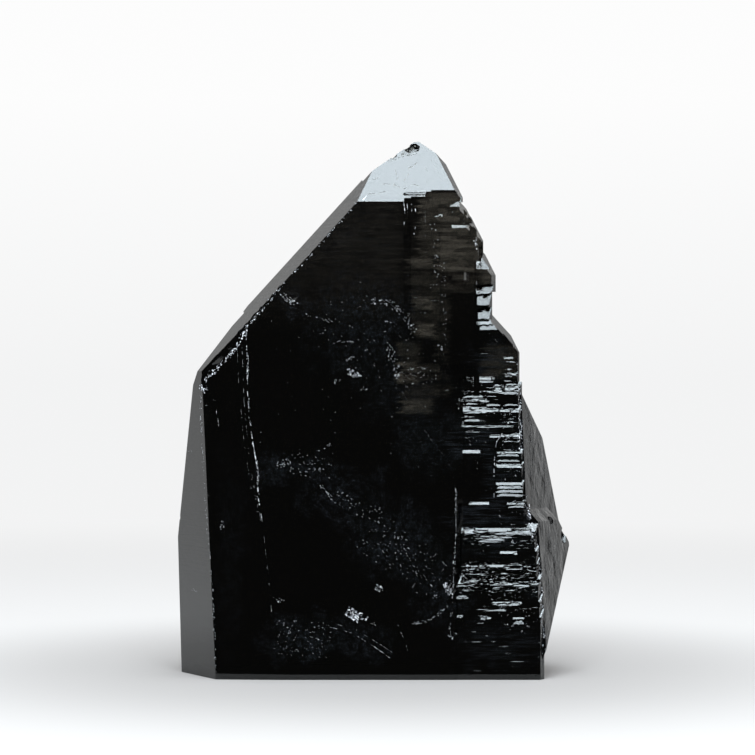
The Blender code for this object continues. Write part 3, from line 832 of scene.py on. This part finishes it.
def riserCutters(tree, rng):
    # a wedge for each: its floor slopes back like the growth steps, its lip wavers
    verts, faces = [], []
    for left, right, top, bottom, atLeft, atRight, *deep in risers:
        middle = seen(deep[0] if deep else (left + right) / 2, bottom)
        hit = tree.ray_cast(view["eye"], (middle - view["eye"]).normalized())[0]
        if hit is None:
            continue
        grain = view["step"] * (hit.y - view["eye"].y) / (view["front"] - view["eye"].y)
        tall = (bottom - top) * grain
        count = max(3, round((right - left) / wedge["pace"]))
        first = len(verts)
        for i in range(count + 1):
            share = i / count
            x = seen(left + share * (right - left), bottom, hit.y).x
            ends = 1.0 if deep else min(wedge["ends"] + wedge["taper"] * min(share, 1 - share), 1.0)
            high = tall * ends * (atLeft + share * (atRight - atLeft)) * rng.uniform(*wedge["uneven"])
            low = hit.z + min(tall, wedge["lip"]) * rng.uniform(-wedge["waver"], wedge["waver"])
            air = wedge["deepAir"] if deep else wedge["air"]
            drop = 0.0 if deep else air * relief["Slope"]
            verts += [(x, hit.y - air, low - drop), (x, hit.y, low)]
            verts += [(x, hit.y + high * relief["Slope"], low + high), (x, hit.y - air, low + high + drop)]
        for i in range(count):
            for j in range(4):
                a, b = first + i * 4 + j, first + i * 4 + (j + 1) % 4
                faces.append((a, a + 4, b + 4, b))
        last = first + count * 4
        faces += [(first, first + 1, first + 2, first + 3), (last + 3, last + 2, last + 1, last)]
    cutters = facedOut(meshObject("riserCutters", verts, faces))
    cutters.data.materials.append(naturalFace)
    return cutters


def chipCutter():
    # a sharp uneven shard
    shape = (
        (1.0, 0.1, 0.0), (-0.9, -0.2, 0.1), (0.1, 1.0, 0.2),
        (-0.2, -0.9, 0.0), (0.2, -0.1, 1.0), (-0.1, 0.2, -0.9),
    )
    faces = ((0, 2, 4), (2, 1, 4), (1, 3, 4), (3, 0, 4), (2, 0, 5), (1, 2, 5), (3, 1, 5), (0, 3, 5))
    return facedOut(meshObject("chipCutter", shape, faces))


def ribbon(name, path, width):
    # a strip along a path, across which chips are scattered
    verts, faces = [], []
    for i, spot in enumerate(path):
        a, b = Vector(path[max(i - 1, 0)]), Vector(path[min(i + 1, len(path) - 1)])
        along = (b - a).normalized()
        for side in (-0.5, 0.5):
            verts.append(seen(spot[0] - along.y * width * side, spot[1] + along.x * width * side))
    for i in range(len(path) - 1):
        faces.append((2 * i, 2 * i + 1, 2 * i + 3, 2 * i + 2))
    return meshObject(name, verts, faces)


# chips: path, width of the strip, chips per square millimetre, half lengths in mm along
# and across; a drawn-out chip follows its path
chipRows = (
    (((358, 202), (282, 286)), 2.5, 2.2, (0.1, 0.4), (0.05, 0.14)),
    (((282, 286), (262, 309), (245, 330)), 3.0, 3.6, (0.1, 0.5), (0.06, 0.2)),
    (((245, 330), (235, 350), (205, 381)), 4.0, 4.4, (0.12, 0.5), (0.07, 0.24)),
    (((199, 385), (203, 389), (207, 392)), 5.0, 7.0, (0.1, 0.4), (0.08, 0.25)),
    (((200.5, 394), (201, 420), (202, 440)), 2.0, 6.0, (0.08, 0.34), (0.05, 0.14)),
    (((202, 440), (205, 500), (213, 600), (215.5, 672)), 2.0, 3.4, (0.07, 0.26), (0.04, 0.11)),
    (((247, 325), (246, 337)), 3.0, 7.0, (0.1, 0.4), (0.06, 0.16)),
    (((247, 352), (248, 360), (247, 384)), 2.0, 6.0, (0.08, 0.3), (0.04, 0.12)),
    (((248, 398), (250, 420), (251, 435)), 2.0, 3.0, (0.06, 0.16), (0.04, 0.1)),
    (((253, 443), (258, 470), (258, 497)), 2.0, 5.0, (0.07, 0.24), (0.04, 0.11)),
    (((236, 346), (229, 356), (218, 370), (209, 371), (204, 383)), 2.5, 3.2, (0.1, 0.4), (0.05, 0.16)),
    (((521, 383), (520, 410), (521, 453)), 4.0, 3.4, (0.08, 0.4), (0.06, 0.2)),
    (((527, 504), (531, 523)), 4.0, 6.0, (0.1, 0.4), (0.08, 0.25)),
    (((531, 523), (541, 570), (542, 600), (544, 655)), 4.0, 2.4, (0.08, 0.4), (0.06, 0.2)),
    (((456, 488), (456, 515)), 2.5, 5.0, (0.08, 0.3), (0.05, 0.12)),
    (((456, 515), (453, 590), (450, 632)), 2.0, 2.2, (0.06, 0.24), (0.04, 0.1)),
    (((433, 290), (437, 258), (433, 224)), 7.0, 0.9, (0.05, 0.18), (0.04, 0.1)),
    (((443, 262), (444, 300), (445, 345)), 4.0, 1.2, (0.06, 0.16), (0.04, 0.1)),
    (((474, 238), (479, 252)), 3.0, 5.0, (0.1, 0.4), (0.06, 0.16)),
)
bruises = (
    (((347, 611), (360, 618)), 10.0, 9.0, (0.12, 0.42), (0.1, 0.3)),
    (((360, 617), (368, 619)), 4.0, 6.0, (0.1, 0.3), (0.06, 0.16)),
    (((371, 623), (376, 624)), 3.0, 7.0, (0.08, 0.2), (0.05, 0.12)),
    (((376, 587), (383, 590)), 6.0, 7.0, (0.1, 0.3), (0.08, 0.2)),
    (((446, 583), (450, 595)), 7.0, 7.0, (0.1, 0.34), (0.08, 0.2)),
    (((272, 599), (289, 602)), 4.0, 2.2, (0.08, 0.26), (0.06, 0.16)),
    (((221, 520), (222, 530)), 4.0, 4.0, (0.08, 0.24), (0.06, 0.16)),
    (((276, 466), (290, 461)), 7.0, 4.0, (0.06, 0.22), (0.05, 0.14)),
    (((290, 462), (332, 470)), 22.0, 0.9, (0.05, 0.2), (0.04, 0.1)),
    (((318, 450), (332, 444)), 3.0, 4.0, (0.08, 0.26), (0.04, 0.1)),
    (((320, 485), (328, 493), (336, 505)), 3.0, 4.6, (0.07, 0.24), (0.04, 0.12)),
    (((336, 495), (360, 508), (382, 516)), 16.0, 0.9, (0.05, 0.18), (0.04, 0.1)),
    (((368, 530), (410, 560), (446, 590)), 44.0, 0.5, (0.05, 0.22), (0.03, 0.1)),
    (((398, 536), (406, 541)), 5.0, 3.0, (0.07, 0.22), (0.05, 0.12)),
    (((281, 294), (297, 306)), 6.0, 3.4, (0.08, 0.3), (0.06, 0.16)),
    (((306, 314), (332, 322)), 3.0, 3.0, (0.08, 0.3), (0.04, 0.1)),
    (((336, 341), (354, 342)), 2.5, 4.0, (0.1, 0.34), (0.04, 0.09)),
    (((345, 361), (354, 357)), 3.0, 5.0, (0.1, 0.3), (0.04, 0.1)),
    (((347, 371), (358, 376)), 7.0, 5.0, (0.1, 0.28), (0.08, 0.2)),
    (((333, 383), (341, 379)), 4.0, 4.0, (0.08, 0.24), (0.05, 0.12)),
    (((361, 388), (367, 388)), 4.0, 4.0, (0.08, 0.22), (0.05, 0.12)),
    (((371, 303), (386, 301), (405, 314), (415, 334)), 8.0, 2.0, (0.07, 0.3), (0.04, 0.11)),
    (((388, 345), (400, 378)), 8.0, 2.4, (0.07, 0.28), (0.04, 0.11)),
    (((330, 300), (420, 380)), 70.0, 0.13, (0.05, 0.16), (0.04, 0.1)),
    (((438, 345), (443, 349)), 3.0, 9.0, (0.12, 0.24), (0.1, 0.2)),
    (((400, 380), (437, 372)), 18.0, 0.9, (0.05, 0.2), (0.04, 0.12)),
    (((275, 636), (330, 640)), 36.0, 0.7, (0.06, 0.3), (0.03, 0.07)),
    (((412, 624), (424, 622), (436, 616), (448, 606)), 3.0, 3.0, (0.07, 0.24), (0.04, 0.1)),
    (((250, 400), (440, 400)), 170.0, 0.02, (0.05, 0.12), (0.04, 0.1)),
    (((188, 450), (192, 452)), 3.0, 4.0, (0.1, 0.2), (0.06, 0.12)),
    (((193, 589), (196, 592)), 4.0, 5.0, (0.1, 0.26), (0.08, 0.16)),
    (((449, 634), (453, 638)), 4.0, 6.0, (0.1, 0.26), (0.06, 0.16)),
    (((470, 560), (535, 625)), 40.0, 0.35, (0.05, 0.24), (0.03, 0.1)),
    (((470, 380), (520, 540)), 40.0, 0.2, (0.05, 0.2), (0.03, 0.1)),
    (((400, 153), (416, 150)), 9.0, 5.0, (0.2, 0.5), (0.14, 0.3)),
    (((388, 161), (399, 158)), 4.0, 5.0, (0.15, 0.36), (0.1, 0.24)),
)

# cracks: path, thinnest and widest half width in mm, how far it wanders in mm
crackPaths = (
    (((247, 325), (246, 337), (247, 352), (248, 360), (247, 384)), 0.04, 0.13, 0.1),
    (((247, 327), (246.5, 337), (246.5, 352), (247.5, 360), (247, 384)), 0.03, 0.09, 0.05),
    (((247, 384), (248, 400), (250, 420), (253, 443)), 0.03, 0.08, 0.1),
    (((247, 386), (248, 400), (250, 420), (252.5, 445)), 0.02, 0.06, 0.05),
    (((253, 443), (258, 470), (258, 497), (262, 520)), 0.05, 0.14, 0.1),
    (((252.5, 441), (257, 468), (258.5, 497), (262, 520)), 0.03, 0.09, 0.05),
    (((403.5, 201), (405, 212), (404, 226)), 0.04, 0.13, 0.1),
    (((407, 203), (408, 214)), 0.02, 0.07, 0.1),
    (((415, 206), (416.5, 220), (414, 235)), 0.05, 0.17, 0.15),
    (((411.5, 203), (412, 218), (411, 226)), 0.02, 0.08, 0.1),
    (((262, 520), (266, 555), (270, 590), (272, 616)), 0.006, 0.03, 0.12),
    (((237, 340), (239, 390), (245, 450), (253, 500), (260, 520)), 0.006, 0.024, 0.2),
    (((242, 344), (244, 400), (249, 455), (256, 500), (261, 520)), 0.006, 0.026, 0.2),
    (((206, 387), (209, 391), (212, 396)), 0.02, 0.09, 0.1),
    (((214, 400), (218, 420), (219, 432)), 0.01, 0.04, 0.1),
    (
        ((510, 413), (508, 425), (503, 434), (497, 441), (495, 448), (494, 470), (494, 497)),
        0.035, 0.07, 0.2,
    ),
    (((500, 442), (504, 440), (508, 439)), 0.02, 0.06, 0.1),
    (((456, 488), (456, 530), (453, 590), (450, 630)), 0.02, 0.07, 0.12),
    (((371, 304), (377, 301), (386, 300), (395, 306), (405, 314)), 0.02, 0.07, 0.2),
    (((395, 370), (404, 395), (420, 425), (441, 452), (452, 470), (457, 500)), 0.002, 0.018, 0.6),
    (((330, 627), (352, 633), (372, 645), (390, 658)), 0.015, 0.06, 0.2),
    (((336, 624), (356, 630), (378, 643), (392, 652)), 0.01, 0.04, 0.2),
    (((398, 625), (403, 637), (408, 650)), 0.008, 0.03, 0.2),
    (((412, 624), (424, 622), (436, 616), (448, 606)), 0.015, 0.05, 0.2),
    (((488, 332), (494, 338), (500, 345)), 0.01, 0.04, 0.1),
    (((425, 206), (425, 230), (426, 262)), 0.004, 0.025, 0.2),
    (((476, 270), (477, 282), (477, 298)), 0.02, 0.06, 0.15),
    (((432, 550), (437, 553), (433, 557)), 0.015, 0.05, 0.1),
)
# wider cracks in the bright face at the tip
tipCracks = (
    (((418, 162), (413, 166), (409, 168), (408, 175), (404, 181)), 0.08, 0.17, 0.25),
    (((382, 184), (388, 184), (392, 187), (395, 185), (404, 189), (412, 184), (420, 186)), 0.05, 0.13, 0.4),
    (((395, 170), (398, 178), (393, 186)), 0.05, 0.11, 0.3),
    (((369, 178), (374, 180), (379, 177)), 0.05, 0.1, 0.2),
    (((363, 200), (368, 194), (378, 193), (387, 191)), 0.06, 0.12, 0.2),
    (((425, 165), (428, 174), (426, 185)), 0.03, 0.08, 0.3),
    (((430, 158), (436, 168), (441, 180)), 0.02, 0.06, 0.3),
)


damage = {
    "chipShare": 1.9,  # of the chips that the rows ask for
    "smallest": 0.66,  # of the sizes that they ask for
    "largest": 0.7,
    "chipShake": 0.03 * mm,
    "chipGrain": 4000.0,  # per metre
    "lean": 0.5,  # radians that a chip turns away from its path
    "tilt": 0.4,
    "spacing": 0.25 * mm,  # of the points along a crack
    "crackGrain": 1300.0,
}


def roughCutters(crystal):
    chip = chipCutter()
    cutters = []
    for seed, (path, width, count, along, across) in enumerate(chipRows + bruises):
        run = seen(*path[-1]) - seen(*path[0])
        lean = -math.atan2(run.z, run.x)
        smallest, largest = [Vector((long, short, short)) for long, short in zip(along, across)]
        cutters.append(runTree(ribbon(f"chips{seed}", path, width), chips, {
            "Stone": crystal, "Eye": view["eye"], "Cutter": chip,
            "Density": damage["chipShare"] * count / mm**2,
            "Smallest": smallest * damage["smallest"] * mm,
            "Largest": largest * damage["largest"] * mm,
            "Least Turn": (0.0, lean - damage["lean"], -damage["tilt"]),
            "Most Turn": (6.0, lean + damage["lean"], damage["tilt"]),
            "Roughness": damage["chipShake"], "Grain": damage["chipGrain"], "Seed": seed,
            "Finish": brokenFace,
        }))
    for path, thin, wide, wander in crackPaths + tipCracks:
        links = [(i, i + 1) for i in range(len(path) - 1)]
        line = meshObject("crack", [seen(*spot) for spot in path], [], links)
        cutters.append(runTree(line, cracks, {
            "Stone": crystal, "Eye": view["eye"], "Spacing": damage["spacing"], "Wander": wander * mm,
            "Thinnest": thin * mm, "Widest": wide * mm, "Grain": damage["crackGrain"],
            "Finish": brokenFace,
        }))
    bpy.data.objects.remove(chip, do_unlink=True)
    return joined("roughCutters", cutters)


def joined(name, things):
    # joins meshes and keeps each face's finish
    bm = bmesh.new()
    slots = []
    for thing in things:
        first = len(bm.faces)
        bm.from_mesh(thing.data)
        bm.faces.ensure_lookup_table()
        for face in bm.faces[first:]:
            finish = thing.data.materials[face.material_index]
            if finish not in slots:
                slots.append(finish)
            face.material_index = slots.index(finish)
        bpy.data.objects.remove(thing, do_unlink=True)
    result = meshObject(name, [], [])
    bm.to_mesh(result.data)
    bm.free()
    for finish in slots:
        result.data.materials.append(finish)
    return result


def looseDropped(crystal):
    # keeps the largest piece that hangs together
    bm = bmesh.new()
    bm.from_mesh(crystal.data)
    waiting, pieces = set(bm.verts), []
    while waiting:
        group, edge = set(), [waiting.pop()]
        while edge:
            vert = edge.pop()
            group.add(vert)
            for link in vert.link_edges:
                other = link.other_vert(vert)
                if other in waiting:
                    waiting.discard(other)
                    edge.append(other)
        pieces.append(group)
    pieces.sort(key=len)
    bmesh.ops.delete(bm, geom=[vert for group in pieces[:-1] for vert in group], context="VERTS")
    print("loose pieces dropped:", len(pieces) - 1)
    print("open edges:", sum(not link.is_manifold for link in bm.edges))
    bm.to_mesh(crystal.data)
    bm.free()


def carveCrystal():
    # everything is cut from the closed solid at once, rather than from a solid that is cut already
    guide = crystalCopy("guide")
    cutters = growthBlocks(guide)
    stone = guide.data
    tree = BVHTree.FromPolygons([v.co for v in stone.vertices], [p.vertices for p in stone.polygons])
    cutters += [riserCutters(tree, random.Random(5)), notchCutters(tree), roughCutters(guide)]
    cutters = joined("cutters", cutters)
    print("cutters made:", len(cutters.data.polygons), "faces")
    crystal = crystalCopy("morionCrystal")
    carved(crystal, cutters)
    for thing in (guide, cutters):
        bpy.data.objects.remove(thing, do_unlink=True)
    looseDropped(crystal)
    return crystal


crystal = carveCrystal()
print("crystal carved:", len(crystal.data.polygons), "faces")


studio = {
    "paper": "#a8a5a3",
    "paintedShadow": "#8e8b89",  # painted shadow: the paper darker close round the stone
    "paintedShadowReach": (0.04, 0.13),  # m
    "white": ((0.893, 0.897, 0.9), (0.978, 0.978, 0.978)),  # level with the stone, and above
    "rise": (0.0, 0.105),  # sines of the two heights
    "fade": (0.1, 0.55),  # m from the middle, where the paper turns into plain white
    "softboxSize": 0.6,
    "softboxColour": (0.85, 0.935, 1.0),
    "softboxes": (((0.0, -0.2, 0.98), 14.0), ((0.0, -0.66, 0.75), 11.0)),  # way from the stone, W
    "cardLight": 0.036,
}


# the black cards round the stone: corners in m
cards = (
    ("front card", [(-0.9, -0.75, -0.2), (0.9, -0.75, -0.2), (0.9, -0.75, 0.55), (-0.9, -0.75, 0.55)]),
    ("right card", [(0.9, -0.3, -0.1), (0.9, 0.3, -0.1), (0.9, 0.3, 0.4), (0.9, -0.3, 0.4)]),
    ("left card", [(-0.9, -0.3, -0.1), (-0.9, 0.3, -0.1), (-0.9, 0.3, 0.4), (-0.9, -0.3, 0.4)]),
    ("back card", [(-0.35, 0.9, -0.1), (0.35, 0.9, -0.1), (0.35, 0.9, 0.4), (-0.35, 0.9, 0.4)]),
    ("floor card", [
        (-0.5, -0.74, 0.001), (0.5, -0.74, 0.001), (0.5, -0.0227, 0.001), (-0.5, -0.0227, 0.001),
    ]),
)


def paleFloor():
    bm = bmesh.new()
    bmesh.ops.create_circle(bm, cap_ends=True, segments=96, radius=4.0)
    floor = meshObject("paleFloor", [], [])
    bm.to_mesh(floor.data)
    bm.free()
    material, tree = newMaterial("white paper, endless")
    place = addNode(tree, "ShaderNodeTexCoord").outputs["Object"]
    reach = calcVector(tree, "LENGTH", place)
    near, far = studio["fade"]
    share = ramp(tree, reach.outputs["Value"], near, far, interpolation_type="SMOOTHSTEP")
    # painted shadow: the paper is darker close round the stone
    closeBy, away = studio["paintedShadowReach"]
    paintedShadow = ramp(tree, reach.outputs["Value"], closeBy, away, interpolation_type="SMOOTHSTEP")
    tone = blend(tree, paintedShadow, linear(studio["paintedShadow"]), linear(studio["paper"]))
    paper = addNode(tree, "ShaderNodeBsdfDiffuse", {"Color": tone})
    light = addNode(tree, "ShaderNodeEmission", {"Color": (*studio["white"][0], 1)})
    mix = addNode(tree, "ShaderNodeMixShader", {0: share, 1: paper, 2: light})
    addNode(tree, "ShaderNodeOutputMaterial", {"Surface": mix})
    floor.data.materials.append(material)


def darkCard(name, corners):
    # a black card that only the stone's gloss sees
    card = meshObject(name, corners, [(0, 1, 2, 3)])
    material, tree = newMaterial(name)
    light = addNode(tree, "ShaderNodeEmission", {"Strength": studio["cardLight"]})
    addNode(tree, "ShaderNodeOutputMaterial", {"Surface": light})
    card.data.materials.append(material)
    for ray in ("camera", "diffuse", "shadow", "transmission"):
        setattr(card, "visible_" + ray, False)


def lights():
    world = bpy.data.worlds.new("white studio")
    bpy.context.scene.world = world
    world.use_nodes = True
    tree = world.node_tree
    tree.nodes.clear()
    way = addNode(tree, "ShaderNodeTexCoord").outputs["Generated"]
    height = axes(tree, way)["Z"]
    low, high = studio["rise"]
    share = ramp(tree, height, low, high)
    level, above = [(*colour, 1) for colour in studio["white"]]
    colour = blend(tree, share, level, above)
    sky = addNode(tree, "ShaderNodeBackground", {"Color": colour})
    addNode(tree, "ShaderNodeOutputWorld", {"Surface": sky})
    for place, power in studio["softboxes"]:
        light = bpy.data.lights.new("softbox", "AREA")
        light.shape = "SQUARE"
        light.size = studio["softboxSize"]
        light.energy = power
        light.color = studio["softboxColour"]
        lamp = bpy.data.objects.new("softbox", light)
        bpy.context.scene.collection.objects.link(lamp)
        away = Vector(place)
        lamp.location = Vector((0, 0, 60 * mm)) + away
        lamp.rotation_mode = "QUATERNION"
        lamp.rotation_quaternion = away.to_track_quat("Z", "Y")


def camera():
    data = bpy.data.cameras.new("camera")
    data.sensor_width = view["sensor"]
    data.lens = view["sensor"] * (view["front"] - view["eye"].y) / (view["side"] * view["step"])
    eye = bpy.data.objects.new("camera", data)
    eye.location = view["eye"]
    eye.rotation_euler = (math.radians(90), 0, 0)
    bpy.context.scene.collection.objects.link(eye)
    bpy.context.scene.camera = eye


paleFloor()
for name, corners in cards:
    darkCard(name, corners)
lights()
camera()
bpy.context.scene.view_settings.view_transform = "Standard"

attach(crystal, "root")
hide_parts("morion_crystal")
print("scene ready")
